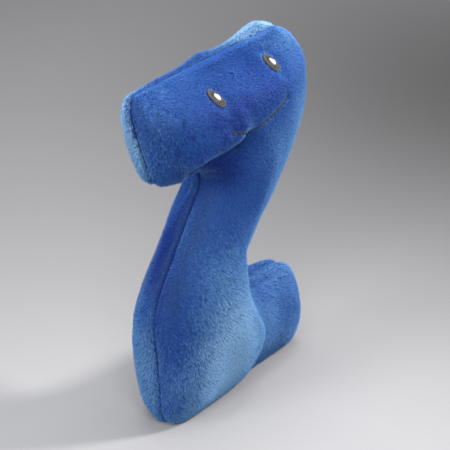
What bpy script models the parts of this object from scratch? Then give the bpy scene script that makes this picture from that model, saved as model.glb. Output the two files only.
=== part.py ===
"""A soft plush letter Z that stands on its own edge and has a face sewn on its top bar.

Two cut panels of short-pile fabric are sewn together round one outline, turned right side out and
stuffed with loose fibre. The face is embroidery on the front panel: two eyes with highlights, and a
smile with a tack at each end, with a backing sheet behind it. Metres, +Z up, front towards -Y.
"""
import math

import bmesh
import bpy
import numpy as np
from mathutils import Matrix, Vector
from mathutils.bvhtree import BVHTree
from mathutils.geometry import delaunay_2d_cdt

# Outline of the letter, seen from the front. x is measured from the heel's corner.
HEIGHT = 0.2455           # floor to the top edge
TOP_LENGTH = 0.1977       # top edge, from corner to corner
TOP_OVERHANG = 0.0432     # how far the top bar's corner reaches out past the heel
TOP_BAR = 0.0694          # height of the top bar at its free end
TOP_BAR_SLANT = 0.0309    # how far its free end leans in towards the bottom
SHOULDER_REACH = 0.0201   # the outer bend stands out past the top right corner
SHOULDER_DROP = 0.0546    # and this far below it
ARMPIT_X = 0.0539         # inner corner below the top bar
ARMPIT_DROP = 0.0737      # and its depth below the top edge
FOOT_LENGTH = 0.1810      # heel to the toe, along the floor
FOOT_BAR = 0.0678         # height of the foot at the toe
TOE_SLANT = 0.0190        # how far the toe leans in towards its top
CROOK_X = 0.0597          # inner corner above the foot
CROOK_Z = 0.0792
HIP_REACH = 0.0154        # the outer bend on the left stands out past the heel
HIP_Z = 0.0875
TIGHT_BEND = 0.009        # fillet radii: inner corners, bar ends, toe and heel, outer bends
BAR_END_BEND = 0.015
TOE_BEND = 0.023
OUTER_BEND = 0.045

# How the stuffing swells the two panels. Fullness is depth over half width of a long straight bar.
FRONT_FULLNESS = 0.733
BACK_FULLNESS = 0.694
ARMPIT_PINCH = 0.19       # share of the depth lost where the seam pulls in under the top bar
PINCH_REACH = 0.020
FLOOR_TUCK = 0.275        # share of the depth lost at the floor, fading upwards
TUCK_REACH = 0.014
CORNER_SWELL = 0.28       # extra depth of the back panel behind the top right corner
SWELL_REACH = 0.035
FLOOR_SINK = 0.003        # how far the outline is pressed flat against the floor

# Fabric, seam and stuffing.
PANEL_THICKNESS = 0.0025  # knitted ground and pile together
SEAM_GAP = 0.0003         # left between pieces that touch
SEAM_DEPTH = 0.0015       # the seam lies this far inside the outline
EDGE_ROLL = 0.0018        # half width of the groove over the seam
THREAD_RADIUS = 0.00035
THREAD_DEPTH = 0.0007     # the thread's centre, in from the outline
STUFFING_CLEARANCE = 0.0017

# Face, placed from the middle of the top bar's top edge, right and down.
EYE_SPACING = 0.0714
EYE_DROP = 0.0156
FACE_SHIFT = 0.0132       # the face sits this far right of the middle
EYE_RADIUS = 0.0063
EYE_THICKNESS = 0.0008
HIGHLIGHT_RADIUS = 0.0019
HIGHLIGHT_OFFSET = 0.0012
MOUTH_WIDTH = 0.0668
MOUTH_DROP = 0.0372
MOUTH_SAG = 0.0055
MOUTH_TILT = 0.0030       # the right end is this much higher than the left
MOUTH_SHIFT = 0.0038      # the mouth sits this much right of the eyes' middle
STITCH_RADIUS = 0.0005
TACK_LENGTH = 0.0045
BACKING_WIDTH = 0.092
BACKING_HEIGHT = 0.034
BACKING_THICKNESS = 0.0004
FACE_CLEARANCE = 0.0005   # embroidery to the pile's surface

# Closing stitches on the edge of the leg that faces the foot.
CLOSING_STITCHES = 13
CLOSING_PITCH = 0.004
CLOSING_RADIUS = 0.0003

# Mesh sizes.
MESH_STEP = 0.0105
ARC_STEP = 0.0065
GRID_STEP = 0.002
RIM_RINGS = (0.0022, 0.0062)


def clear_scene():
    for obj in list(bpy.data.objects):
        bpy.data.objects.remove(obj, do_unlink=True)


def material(name, colour, roughness):
    mat = bpy.data.materials.new(name)
    mat.use_nodes = True
    shader = mat.node_tree.nodes["Principled BSDF"]
    shader.inputs["Base Color"].default_value = (*colour, 1.0)
    shader.inputs["Roughness"].default_value = roughness
    shader.inputs["Metallic"].default_value = 0.0
    mat.diffuse_color = (*colour, 1.0)
    return mat


def add_object(name, bm, mat):
    """A scene object of a finished bmesh, smooth shaded, with its faces turned outwards."""
    bmesh.ops.recalc_face_normals(bm, faces=bm.faces)
    mesh = bpy.data.meshes.new(name)
    bm.to_mesh(mesh)
    bm.free()
    mesh.materials.append(mat)
    mesh.shade_smooth()
    obj = bpy.data.objects.new(name, mesh)
    bpy.context.scene.collection.objects.link(obj)
    return obj


# The flat outline.

def outline_corners():
    """(x, z, fillet radius) of each corner, anticlockwise from the heel as seen from the front."""
    top_left = -TOP_OVERHANG
    top_right = top_left + TOP_LENGTH
    return [
        (0.0, -FLOOR_SINK, TOE_BEND),
        (FOOT_LENGTH, -FLOOR_SINK, TOE_BEND),
        (FOOT_LENGTH - TOE_SLANT, FOOT_BAR, TOE_BEND),
        (CROOK_X, CROOK_Z, TIGHT_BEND),
        (top_right + SHOULDER_REACH, HEIGHT - SHOULDER_DROP, OUTER_BEND),
        (top_right, HEIGHT, TOE_BEND),
        (top_left, HEIGHT, BAR_END_BEND),
        (top_left + TOP_BAR_SLANT, HEIGHT - TOP_BAR, BAR_END_BEND),
        (ARMPIT_X, HEIGHT - ARMPIT_DROP, TIGHT_BEND),
        (-HIP_REACH, HIP_Z, OUTER_BEND),
    ]


def rounded(corners):
    """The outline as points: an arc at each corner, straight stretches in even steps between."""
    arcs = []
    for i, (x, z, radius) in enumerate(corners):
        here = Vector((x, z))
        to_last = (Vector(corners[i - 1][:2]) - here)
        to_next = (Vector(corners[(i + 1) % len(corners)][:2]) - here)
        angle = to_last.angle(to_next)
        reach = min(radius / math.tan(angle / 2), 0.47 * to_last.length, 0.47 * to_next.length)
        radius = reach * math.tan(angle / 2)
        middle = (to_last.normalized() + to_next.normalized()).normalized()
        centre = here + middle * radius / math.sin(angle / 2)
        start = here + to_last.normalized() * reach - centre
        turn = start.angle_signed(here + to_next.normalized() * reach - centre)
        steps = max(3, math.ceil(abs(turn) * radius / ARC_STEP))
        arcs.append([centre + rotated(start, -turn * k / steps) for k in range(steps + 1)])
    points = []
    for i, arc in enumerate(arcs):
        points += arc[:-1]
        start, end = arc[-1], arcs[(i + 1) % len(arcs)][0]
        steps = max(1, math.ceil((end - start).length / MESH_STEP))
        points += [start.lerp(end, k / steps) for k in range(steps)]
    return np.array(with_floor_points([tuple(p) for p in points]))


def with_floor_points(points):
    """The outline with a point exactly at each place where it crosses the floor."""
    points = list(points)
    found = []
    for i, (x, z) in enumerate(points):
        following = (i + 1) % len(points)
        next_x, next_z = points[following]
        if z * next_z >= 0:
            found.append((x, z))
            continue
        share = z / (z - next_z)
        crossing = (x + (next_x - x) * share, 0.0)
        if share > 0.3:
            found.append((x, z))
        if share > 0.7 and following:
            points[following] = crossing
        else:
            found.append(crossing)
    return found


def rotated(vector, angle):
    cos, sin = math.cos(angle), math.sin(angle)
    return Vector((vector.x * cos - vector.y * sin, vector.x * sin + vector.y * cos))


def inset(points, distance):
    """The same outline moved inwards, point for point."""
    edge = np.roll(points, -1, 0) - points
    edge /= np.linalg.norm(edge, axis=1)[:, None]
    normal = np.stack([-edge[:, 1], edge[:, 0]], 1)
    mitre = normal + np.roll(normal, 1, 0)
    mitre /= (mitre ** 2).sum(1)[:, None] / 2
    return points + mitre * distance


def inside(points, outline):
    """Even-odd test of many points at once."""
    x, z = points[:, 0, None], points[:, 1, None]
    x1, z1 = outline[:, 0], outline[:, 1]
    x2, z2 = np.roll(outline, -1, 0).T
    level = np.where(z2 == z1, 1.0, z2 - z1)
    crossing = ((z1 > z) != (z2 > z)) & (x < x1 + (z - z1) * (x2 - x1) / level)
    return crossing.sum(1) % 2 == 1


def distance_to(points, outline):
    """Distance of each point from the outline's line."""
    edge = np.roll(outline, -1, 0) - outline
    offset = points[:, None] - outline[None]
    along = np.clip((offset * edge).sum(2) / (edge ** 2).sum(1), 0, 1)
    return np.linalg.norm(offset - along[..., None] * edge, axis=2).min(1)


def flat_mesh(outline, step):
    """Triangles that fill the outline: its points come first, then two rings and a lattice."""
    low, high = outline.min(0), outline.max(0)
    rows = np.arange(low[1], high[1], step * math.sqrt(3) / 2)
    lattice = [(x + (k % 2) * step / 2, z) for k, z in enumerate(rows)
               for x in np.arange(low[0], high[0], step)]
    lattice = np.array(lattice)
    far = distance_to(lattice, outline) > RIM_RINGS[-1] + step * 0.55
    above = lattice[:, 1] > step * 0.5
    lattice = lattice[inside(lattice, outline) & far & above]
    rings = [inset(outline, distance) for distance in RIM_RINGS]
    points = np.concatenate([outline, *rings, lattice])
    loop = [(i, (i + 1) % len(outline)) for i in range(len(outline))]
    # A line along the floor, so that the pressed-flat strip has a straight edge.
    ends = [i for i in range(len(outline)) if outline[i][1] == 0]
    if ends:
        count = math.ceil(abs(outline[ends[0]][0] - outline[ends[1]][0]) / step)
        floor = np.linspace(outline[ends[0]], outline[ends[1]], count + 1)[1:-1]
        chain = [ends[0], *range(len(points), len(points) + len(floor)), ends[1]]
        loop += list(zip(chain, chain[1:]))
        points = np.concatenate([points, floor])
    points = [Vector(p) for p in points]
    found = delaunay_2d_cdt(points, loop, [], 1, 1e-6)
    flat, faces = np.array([tuple(p) for p in found[0]]), found[2]
    middles = np.array([flat[list(face)].mean(0) for face in faces])
    kept = [face for face, ok in zip(faces, inside(middles, outline)) if ok]
    used = sorted({i for face in kept for i in face})
    index = {old: new for new, old in enumerate(used)}
    return flat[used], [[index[i] for i in face] for face in kept]


class Cushion:
    """Depth of a stuffed sheet over its flat outline, relaxed on a grid like a loaded membrane."""

    def __init__(self, outline):
        self.low = outline.min(0) - 2 * GRID_STEP
        size = np.ceil((outline.max(0) - self.low) / GRID_STEP).astype(int) + 3
        columns, rows = np.meshgrid(np.arange(size[0]), np.arange(size[1]))
        spots = self.low + np.stack([columns, rows], 2).reshape(-1, 2) * GRID_STEP
        filled = inside(spots, outline).reshape(rows.shape)
        even = (rows + columns) % 2 == 0
        load = np.zeros(rows.shape)
        for _ in range(700):
            for turn in (even, ~even):
                around = sum(np.roll(load, step, axis) for step in (1, -1) for axis in (0, 1))
                target = (around + GRID_STEP ** 2) / 4
                load = np.where(turn & filled, load + 1.9 * (target - load), load)
        self.load = load

    def depth(self, x, z):
        """Half the thickness of a round bar at (x, z), in metres."""
        column = (x - self.low[0]) / GRID_STEP
        row = (z - self.low[1]) / GRID_STEP
        c, r = np.floor(column).astype(int), np.floor(row).astype(int)
        u, v = column - c, row - r
        load = self.load
        level = ((1 - v) * ((1 - u) * load[r, c] + u * load[r, c + 1])
                 + v * ((1 - u) * load[r + 1, c] + u * load[r + 1, c + 1]))
        return np.sqrt(2 * np.maximum(level, 0))


def bell(x, z, centre, reach):
    return np.exp(-((x - centre[0]) ** 2 + (z - centre[1]) ** 2) / (2 * reach ** 2))


def fullness(x, z, side, shift):
    """How far the fabric swells for its depth: pulled in at the armpit and where it meets the floor."""
    armpit = (ARMPIT_X + shift, HEIGHT - ARMPIT_DROP)
    corner = (TOP_LENGTH - TOP_OVERHANG + shift, HEIGHT)
    share = 1 - ARMPIT_PINCH * bell(x, z, armpit, PINCH_REACH)
    share = share * (1 - FLOOR_TUCK * np.exp(-np.maximum(z, 0) / TUCK_REACH))
    if side < 0:
        return FRONT_FULLNESS * share
    return BACK_FULLNESS * share * (1 + CORNER_SWELL * bell(x, z, corner, SWELL_REACH))


def pressed(x, y, z, depth):
    """A point of a layer that lies this deep in the toy, kept off the floor by that depth."""
    return Vector((x, y, max(z, depth)))


# The two fabric panels.

def panel_rim(outline, depth, y):
    return [pressed(x, y, z, depth) for x, z in inset(outline, depth)]


def build_panel(outline, flat, faces, cushion, side, shift):
    """One panel as a closed shell: the outer skin, the same skin offset inwards, and the seam edge."""
    count = len(outline)
    x, z = flat.T
    swell = cushion.depth(x, z) * fullness(x, z, side, shift)
    y = side * np.sqrt(EDGE_ROLL ** 2 + swell ** 2)
    outer = [pressed(*point, 0.0) for point in zip(x, y, z)]
    outer += panel_rim(outline, SEAM_DEPTH, side * SEAM_GAP / 2)
    skin = bmesh.new()
    verts = [skin.verts.new(co) for co in outer]
    turned = faces if side < 0 else [face[::-1] for face in faces]
    strips = []
    for i in range(count):
        j = (i + 1) % count
        strip = [j, i, len(flat) + i, len(flat) + j]
        strips.append(strip if side < 0 else strip[::-1])
    for face in turned + strips:
        skin.faces.new([verts[k] for k in face])
    skin.normal_update()
    inner = []
    for vert in skin.verts:
        place = vert.co - vert.normal * PANEL_THICKNESS * min(vert.calc_shell_factor(), 1.4)
        inner.append(pressed(*place, PANEL_THICKNESS))
    inner[len(flat):] = panel_rim(outline, SEAM_DEPTH + PANEL_THICKNESS, side * SEAM_GAP / 2)
    inner_verts = [skin.verts.new(co) for co in inner]
    for face in turned + strips:
        skin.faces.new([inner_verts[k] for k in reversed(face)])
    for i in range(count):
        a, b = len(flat) + i, len(flat) + (i + 1) % count
        skin.faces.new([verts[a], verts[b], inner_verts[b], inner_verts[a]])
    bmesh.ops.triangulate(skin, faces=skin.faces)
    return skin


# The stuffing.

def build_stuffing(outline, shift):
    """One closed mass inside both panels, its two sides meeting along the seam's plane."""
    depth = PANEL_THICKNESS + STUFFING_CLEARANCE
    border = inset(outline, SEAM_DEPTH + depth)
    flat, faces = flat_mesh(border, MESH_STEP * 1.3)
    cushion = Cushion(border)
    # A triangle with all its corners on the rim would be the same on both sides.
    faces = [face for face in faces if max(face) >= len(border)]
    x, z = flat.T
    bm = bmesh.new()
    rim = [bm.verts.new(pressed(*flat[i][[0]], 0.0, flat[i][1], depth)) for i in range(len(border))]
    for side in (-1, 1):
        swell = cushion.depth(x, z) * fullness(x, z, side, shift) * 0.93
        verts = rim + [bm.verts.new(pressed(x[i], side * swell[i], z[i], depth))
                       for i in range(len(border), len(flat))]
        for face in faces:
            bm.faces.new([verts[k] for k in (face if side < 0 else face[::-1])])
    return bm


# Threads: round tubes along a path.

def add_tube(bm, path, radius, closed=False, sides=6):
    """A tube along the path, with capped ends unless it is closed."""
    count = len(path)
    rings = []
    for i, point in enumerate(path):
        last = path[i - 1] if closed or i else point
        following = path[(i + 1) % count] if closed or i < count - 1 else point
        along = (following - last).normalized()
        across = along.cross(Vector((0, 1, 0)))
        if across.length < 0.2:
            across = along.cross(Vector((1, 0, 0)))
        across.normalize()
        up = across.cross(along)
        turns = [2 * math.pi * k / sides for k in range(sides)]
        rings.append([bm.verts.new(point + radius * (across * math.cos(t) + up * math.sin(t)))
                      for t in turns])
    for i in range(count if closed else count - 1):
        here, there = rings[i], rings[(i + 1) % count]
        for k in range(sides):
            m = (k + 1) % sides
            bm.faces.new([here[k], here[m], there[m], there[k]])
    if not closed:
        bm.faces.new(rings[0])
        bm.faces.new(rings[-1])
    return bm


def seam_path(outline, depth):
    return [pressed(x, 0.0, z, depth) for x, z in inset(outline, depth)]


def build_closing_stitches(shift):
    """One hand-sewn thread that crosses the groove to and fro, where the toy was stuffed."""
    crook = Vector((CROOK_X + shift, CROOK_Z))
    shoulder = Vector((TOP_LENGTH - TOP_OVERHANG + SHOULDER_REACH + shift, HEIGHT - SHOULDER_DROP))
    along = (shoulder - crook).normalized()
    outward = Vector((along.y, -along.x))
    start = (crook + shoulder) / 2 - along * CLOSING_PITCH * (CLOSING_STITCHES - 1) / 2
    path = []
    for k in range(CLOSING_STITCHES):
        place = start + along * CLOSING_PITCH * k + outward * CLOSING_RADIUS
        side = -1 if k % 2 else 1
        path.append(Vector((place.x, side * EDGE_ROLL * 0.6, place.y)))
    return add_tube(bmesh.new(), path, CLOSING_RADIUS)


# Embroidery, laid on the front panel.

class Surface:
    """The front panel's outside, for laying pieces on it."""

    def __init__(self, panel):
        self.tree = BVHTree.FromBMesh(panel)

    def cast(self, start, direction):
        return self.tree.ray_cast(start, direction)[0]

    def spot(self, x, z):
        """The surface point in front of (x, z), and the smoothed outward normal there."""
        step = 0.003
        ahead = Vector((0, 1, 0))
        point = self.cast(Vector((x, -0.2, z)), ahead)
        right = self.cast(Vector((x + step, -0.2, z)), ahead)
        left = self.cast(Vector((x - step, -0.2, z)), ahead)
        top = self.cast(Vector((x, -0.2, z + step)), ahead)
        bottom = self.cast(Vector((x, -0.2, z - step)), ahead)
        return point, (right - left).cross(top - bottom).normalized()


def build_disc(surface, x, z, radius, near, far):
    """A round embroidered patch between two heights over the surface."""
    centre, normal = surface.spot(x, z)
    right = Vector((1, 0, 0)).cross(normal).cross(normal).normalized() * -1
    up = normal.cross(right)
    bm = bmesh.new()
    layers = []
    for height in (near, far):
        grid = [[centre]]
        for reach, count in ((0.5, 8), (1.0, 16)):
            turns = [2 * math.pi * k / count for k in range(count)]
            grid.append([centre + radius * reach * (right * math.cos(t) + up * math.sin(t))
                         for t in turns])
        layers.append([[bm.verts.new(lifted(surface, p, normal, height)) for p in ring]
                       for ring in grid])
    for middle, inner, outer in layers:
        for k in range(8):
            m = (k + 1) % 8
            bm.faces.new([middle[0], inner[k], inner[m]])
            bm.faces.new([inner[k], outer[2 * k], outer[2 * k + 1]])
            bm.faces.new([inner[k], outer[2 * k + 1], inner[m]])
            bm.faces.new([inner[m], outer[2 * k + 1], outer[(2 * k + 2) % 16]])
    bottom, top = layers[0][2], layers[1][2]
    for k in range(16):
        bm.faces.new([bottom[k], bottom[(k + 1) % 16], top[(k + 1) % 16], top[k]])
    return bm


def lifted(surface, point, normal, height):
    """The point's place on the surface along the normal, raised by the height."""
    found = surface.cast(point + normal * 0.02, -normal)
    return found + normal * height


def mouth_path(surface, middle):
    """A shallow arc below the eyes, in (x, z), laid on the surface."""
    path = []
    steps = 16
    for k in range(steps + 1):
        t = 2 * k / steps - 1
        x = middle + MOUTH_SHIFT + t * MOUTH_WIDTH / 2
        z = HEIGHT - MOUTH_DROP + t * MOUTH_TILT / 2 - MOUTH_SAG * (1 - t * t)
        point, normal = surface.spot(x, z)
        path.append(point + normal * (STITCH_RADIUS + FACE_CLEARANCE))
    return path


def build_tack(surface, end):
    """A short upright bar of thread just over one end of the mouth."""
    path = []
    for k in range(4):
        z = end.z + 2.2 * STITCH_RADIUS + SEAM_GAP + TACK_LENGTH * k / 3
        point, normal = surface.spot(end.x, z)
        path.append(point + normal * (STITCH_RADIUS + FACE_CLEARANCE))
    return add_tube(bmesh.new(), path, STITCH_RADIUS)


def build_backing(panel, middle):
    """The stabiliser sheet behind the face, just inside the front panel."""
    tree = BVHTree.FromBMesh(panel)
    columns, rows = 9, 4
    centre = HEIGHT - (EYE_DROP + MOUTH_DROP) / 2
    bm = bmesh.new()
    layers = []
    for inward in (FACE_CLEARANCE, FACE_CLEARANCE + BACKING_THICKNESS):
        grid = []
        for r in range(rows + 1):
            line = []
            for c in range(columns + 1):
                x = middle + BACKING_WIDTH * (c / columns - 0.5)
                z = centre + BACKING_HEIGHT * (r / rows - 0.5)
                hit = tree.ray_cast(Vector((x, 0.0, z)), Vector((0, -1, 0)))
                away = -hit[1] if hit[1].y < 0 else hit[1]
                line.append(bm.verts.new(hit[0] + Vector((0, inward / max(away.y, 0.5), 0))))
            grid.append(line)
        layers.append(grid)
    for grid in layers:
        for r in range(rows):
            for c in range(columns):
                bm.faces.new([grid[r][c], grid[r][c + 1], grid[r + 1][c + 1], grid[r + 1][c]])
    edges = [sheet_border(grid) for grid in layers]
    for k in range(len(edges[0])):
        m = (k + 1) % len(edges[0])
        bm.faces.new([edges[0][k], edges[0][m], edges[1][m], edges[1][k]])
    bmesh.ops.triangulate(bm, faces=bm.faces)
    return bm


def sheet_border(grid):
    left = [line[0] for line in grid[1:-1]]
    right = [line[-1] for line in grid[1:-1]]
    return grid[0] + right + grid[-1][::-1] + left[::-1]


def centre_over_origin(objects):
    """Moves all pieces together, front to back, so that the origin is under the box's middle."""
    depths = [vert.co.y for obj in objects for vert in obj.data.vertices]
    move = Matrix.Translation((0, -(min(depths) + max(depths)) / 2, 0))
    for obj in objects:
        obj.data.transform(move)


def main():
    clear_scene()
    outline = rounded(outline_corners())
    shift = -(outline[:, 0].min() + outline[:, 0].max()) / 2
    outline[:, 0] += shift
    flat, faces = flat_mesh(outline, MESH_STEP)
    cushion = Cushion(outline)

    plush_front = material("front_plush", (0.030, 0.110, 0.420), 0.95)
    plush_back = material("back_plush", (0.028, 0.100, 0.400), 0.95)
    fibre = material("polyester_fibre", (0.85, 0.85, 0.83), 1.0)
    seam_thread = material("seam_thread", (0.012, 0.030, 0.160), 0.7)
    closing_thread = material("closing_thread", (0.016, 0.045, 0.220), 0.7)
    eye_thread = material("eye_thread", (0.120, 0.105, 0.100), 0.5)
    white_thread = material("white_thread", (0.88, 0.88, 0.86), 0.5)
    mouth_thread = material("mouth_thread", (0.020, 0.025, 0.060), 0.6)
    backing_sheet = material("backing_sheet", (0.75, 0.76, 0.78), 0.9)

    front = build_panel(outline, flat, faces, cushion, -1, shift)
    back = build_panel(outline, flat, faces, cushion, 1, shift)
    surface = Surface(front)
    middle = shift + TOP_LENGTH / 2 - TOP_OVERHANG + FACE_SHIFT

    add_object("embroidery_backing", build_backing(front, middle), backing_sheet)
    add_object("fibre_stuffing", build_stuffing(outline, shift), fibre)
    loop = add_tube(bmesh.new(), seam_path(outline, THREAD_DEPTH), THREAD_RADIUS, closed=True, sides=4)
    add_object("seam_thread", loop, seam_thread)
    add_object("closing_stitches", build_closing_stitches(shift), closing_thread)

    skin = FACE_CLEARANCE
    for name, side in (("left", -1), ("right", 1)):
        x = middle + side * EYE_SPACING / 2
        z = HEIGHT - EYE_DROP
        eye = build_disc(surface, x, z, EYE_RADIUS, skin, skin + EYE_THICKNESS)
        top = skin + EYE_THICKNESS + SEAM_GAP
        glint = build_disc(surface, x + HIGHLIGHT_OFFSET, z, HIGHLIGHT_RADIUS, top, top + 0.0004)
        add_object(f"{name}_eye", eye, eye_thread)
        add_object(f"{name}_eye_highlight", glint, white_thread)
    path = mouth_path(surface, middle)
    add_object("mouth_stitch", add_tube(bmesh.new(), path, STITCH_RADIUS), mouth_thread)
    add_object("left_mouth_tack", build_tack(surface, path[0]), mouth_thread)
    add_object("right_mouth_tack", build_tack(surface, path[-1]), mouth_thread)

    add_object("front_panel", front, plush_front)
    add_object("back_panel", back, plush_back)
    centre_over_origin(list(bpy.data.objects))


main()
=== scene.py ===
"""Looks of the soft plush letter: its stuffed body, pile, seam and embroidered face."""

import math

import bmesh
import bpy
import numpy as np
from mathutils import Matrix, Vector
from mathutils.bvhtree import BVHTree
from mathutils.kdtree import KDTree


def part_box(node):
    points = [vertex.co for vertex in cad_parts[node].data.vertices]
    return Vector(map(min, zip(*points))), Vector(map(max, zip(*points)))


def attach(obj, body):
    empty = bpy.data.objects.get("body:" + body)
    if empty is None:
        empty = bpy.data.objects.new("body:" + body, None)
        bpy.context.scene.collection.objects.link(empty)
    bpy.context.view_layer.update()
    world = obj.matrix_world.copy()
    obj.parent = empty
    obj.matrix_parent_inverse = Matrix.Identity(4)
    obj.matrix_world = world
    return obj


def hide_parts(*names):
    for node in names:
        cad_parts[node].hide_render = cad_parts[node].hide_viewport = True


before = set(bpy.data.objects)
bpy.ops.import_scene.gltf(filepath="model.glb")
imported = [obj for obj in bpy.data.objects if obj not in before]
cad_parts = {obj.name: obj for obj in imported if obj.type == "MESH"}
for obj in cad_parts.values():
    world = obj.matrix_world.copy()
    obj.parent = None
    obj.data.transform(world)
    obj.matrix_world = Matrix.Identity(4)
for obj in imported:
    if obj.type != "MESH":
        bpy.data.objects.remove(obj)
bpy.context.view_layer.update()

# ---------------------------------------------------------------------------------------------
# Camera: a long lens a metre and a half in front of the letter's left end and half a metre above
# its top, looking 22 degrees down.

CAMERA_PLACE = Vector((-1.2878, -0.7748, 0.7339))
CAMERA_TURN = math.radians(-59.16)
CAMERA_TILT = math.radians(90 - 22.11)
CAMERA_ROLL = math.radians(0.26)
camera = bpy.data.objects.new("camera", bpy.data.cameras.new("camera"))
camera.data.lens = 192
camera.data.sensor_width = 36
camera.matrix_world = (Matrix.Translation(CAMERA_PLACE) @ Matrix.Rotation(CAMERA_TURN, 4, "Z")
                       @ Matrix.Rotation(CAMERA_TILT, 4, "X") @ Matrix.Rotation(CAMERA_ROLL, 4, "Z"))
bpy.context.scene.collection.objects.link(camera)
bpy.context.scene.camera = camera

# ---------------------------------------------------------------------------------------------
# Studio: a pale paper sweep that curves up behind the letter, a key light on the right, a fill on
# the left, one overhead and a broad one in front, and an even grey surround. None of it belongs
# to the toy. Painted light in the paper's colour makes its pale pool round the letter, and painted
# shade makes its dim far corner.

SWEEP_NEAR, SWEEP_FLAT, SWEEP_BEND, SWEEP_RISE, SWEEP_HALF = 2.5, 1.1, 0.9, 4.5, 7.0
# The paper's painted pool of light round the letter, and the painted shade in its far corner.
PAINTED_POOL_MIDDLE, PAINTED_POOL_REACH = (-0.22, -0.05, 0.0), (1.6, 1.6, 1.6)
PAPER_PAINTED_LIGHT = [(0.15, 0.38), (0.255, 0.31), (0.36, 0.26), (0.51, 0.22), (0.77, 0.18), (1.0, 0.42)]
PAINTED_DIM_MIDDLE, PAINTED_DIM_REACH, PAINTED_DIM_SHADE = (0.690, 0.070, 0.0), (0.50, 0.70, 1.0), 0.26
bpy.context.scene.view_settings.view_transform = "Standard"


def plain(name, colour, roughness):
    """A Principled material and its shader, for a finish that starts from one colour."""
    mat = bpy.data.materials.new(name)
    mat.use_nodes = True
    shader = mat.node_tree.nodes["Principled BSDF"]
    shader.inputs["Base Color"].default_value = (*colour, 1)
    shader.inputs["Roughness"].default_value = roughness
    return mat, shader


def multiplied(tree, one, other):
    """The product of two colours."""
    mix = tree.nodes.new("ShaderNodeMix")
    mix.data_type = "RGBA"
    mix.blend_type = "MULTIPLY"
    mix.inputs[0].default_value = 1.0
    tree.links.new(one, mix.inputs[6])
    tree.links.new(other, mix.inputs[7])
    return mix.outputs[2]


def shade_round(tree, where, middle, turn, reach):
    """A ramp of painted light and shade that runs outwards from one place, up to that reach."""
    place = tree.nodes.new("ShaderNodeMapping")
    place.vector_type = "TEXTURE"
    place.inputs["Location"].default_value = middle
    place.inputs["Rotation"].default_value = (0, 0, turn)
    place.inputs["Scale"].default_value = reach
    tree.links.new(where.outputs["Object"], place.inputs["Vector"])
    distance = tree.nodes.new("ShaderNodeVectorMath")
    distance.operation = "LENGTH"
    tree.links.new(place.outputs["Vector"], distance.inputs[0])
    shade = tree.nodes.new("ShaderNodeValToRGB")
    tree.links.new(distance.outputs["Value"], shade.inputs["Fac"])
    return shade


def paper():
    """Matt grey paper: a painted pool of light round the letter, darker outwards, and painted shade in one
    far corner.
    """
    mat, shader = plain("paper", (0.5, 0.5, 0.5), 0.9)
    tree = mat.node_tree
    where = tree.nodes.new("ShaderNodeTexCoord")
    painted_pool = shade_round(tree, where, PAINTED_POOL_MIDDLE, 0, PAINTED_POOL_REACH)
    while len(painted_pool.color_ramp.elements) < len(PAPER_PAINTED_LIGHT):
        painted_pool.color_ramp.elements.new(0.5)
    for element, (position, grey) in zip(painted_pool.color_ramp.elements, PAPER_PAINTED_LIGHT):
        element.position = position
        element.color = (grey, grey * 0.99, grey * 1.01, 1)
    painted_dim = shade_round(tree, where, PAINTED_DIM_MIDDLE, CAMERA_TURN, PAINTED_DIM_REACH)
    painted_dim.color_ramp.interpolation = "EASE"
    painted_dim.color_ramp.elements[0].color = (PAINTED_DIM_SHADE, PAINTED_DIM_SHADE, PAINTED_DIM_SHADE, 1)
    both = multiplied(tree, painted_pool.outputs["Color"], painted_dim.outputs["Color"])
    tree.links.new(both, shader.inputs["Base Color"])
    return mat


def paper_sweep():
    """One strip of paper, laid along the camera's own direction."""
    steps = 16
    profile = [(-SWEEP_NEAR, 0.0), (SWEEP_FLAT, 0.0)]
    for k in range(1, steps + 1):
        turn = math.pi / 2 * k / steps
        profile.append((SWEEP_FLAT + SWEEP_BEND * math.sin(turn), SWEEP_BEND * (1 - math.cos(turn))))
    profile.append((SWEEP_FLAT + SWEEP_BEND, SWEEP_BEND + SWEEP_RISE))
    mesh = bmesh.new()
    rows = [[mesh.verts.new((side * SWEEP_HALF, along, up)) for side in (-1, 1)] for along, up in profile]
    for near, far in zip(rows, rows[1:]):
        mesh.faces.new([near[0], near[1], far[1], far[0]])
    data = bpy.data.meshes.new("paper_sweep")
    mesh.to_mesh(data)
    mesh.free()
    data.transform(Matrix.Rotation(CAMERA_TURN, 4, "Z"))
    data.shade_smooth()
    sweep = bpy.data.objects.new("paper_sweep", data)
    bpy.context.scene.collection.objects.link(sweep)
    data.materials.append(paper())


def soft_light(name, place, target, width, power, colour):
    lamp = bpy.data.lights.new(name, "AREA")
    lamp.shape = "DISK"
    lamp.size = width
    lamp.energy = power
    lamp.color = colour
    obj = bpy.data.objects.new(name, lamp)
    obj.location = place
    obj.rotation_euler = (Vector(target) - Vector(place)).to_track_quat("-Z", "Y").to_euler()
    bpy.context.scene.collection.objects.link(obj)


paper_sweep()
soft_light("key", (1.00, -1.12, 1.12), (0, 0, 0.12), 0.34, 34, (1.0, 0.98, 0.97))
soft_light("side_fill", (-1.6, 0.5, 0.7), (0, 0, 0.14), 0.8, 13, (0.98, 0.99, 1.0))
soft_light("overhead", (0.1, 0.1, 2.1), (0, 0, 0.15), 1.2, 21, (0.98, 0.99, 1.0))
soft_light("front_fill", (-1.6, -0.9, 1.3), (0, 0, 0.1), 1.4, 42, (0.97, 0.98, 1.0))
world = bpy.data.worlds.new("surround")
world.use_nodes = True
world.node_tree.nodes["Background"].inputs["Color"].default_value = (0.80, 0.83, 0.88, 1)
world.node_tree.nodes["Background"].inputs["Strength"].default_value = 0.36
bpy.context.scene.world = world

# ---------------------------------------------------------------------------------------------
# Body: the two sewn panels swollen by the stuffing. A slightly smaller copy of them is inflated
# as cloth, held to the depth of the pile under their own skin, and then pulled into the folds
# that the sewing and the handling leave.

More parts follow.
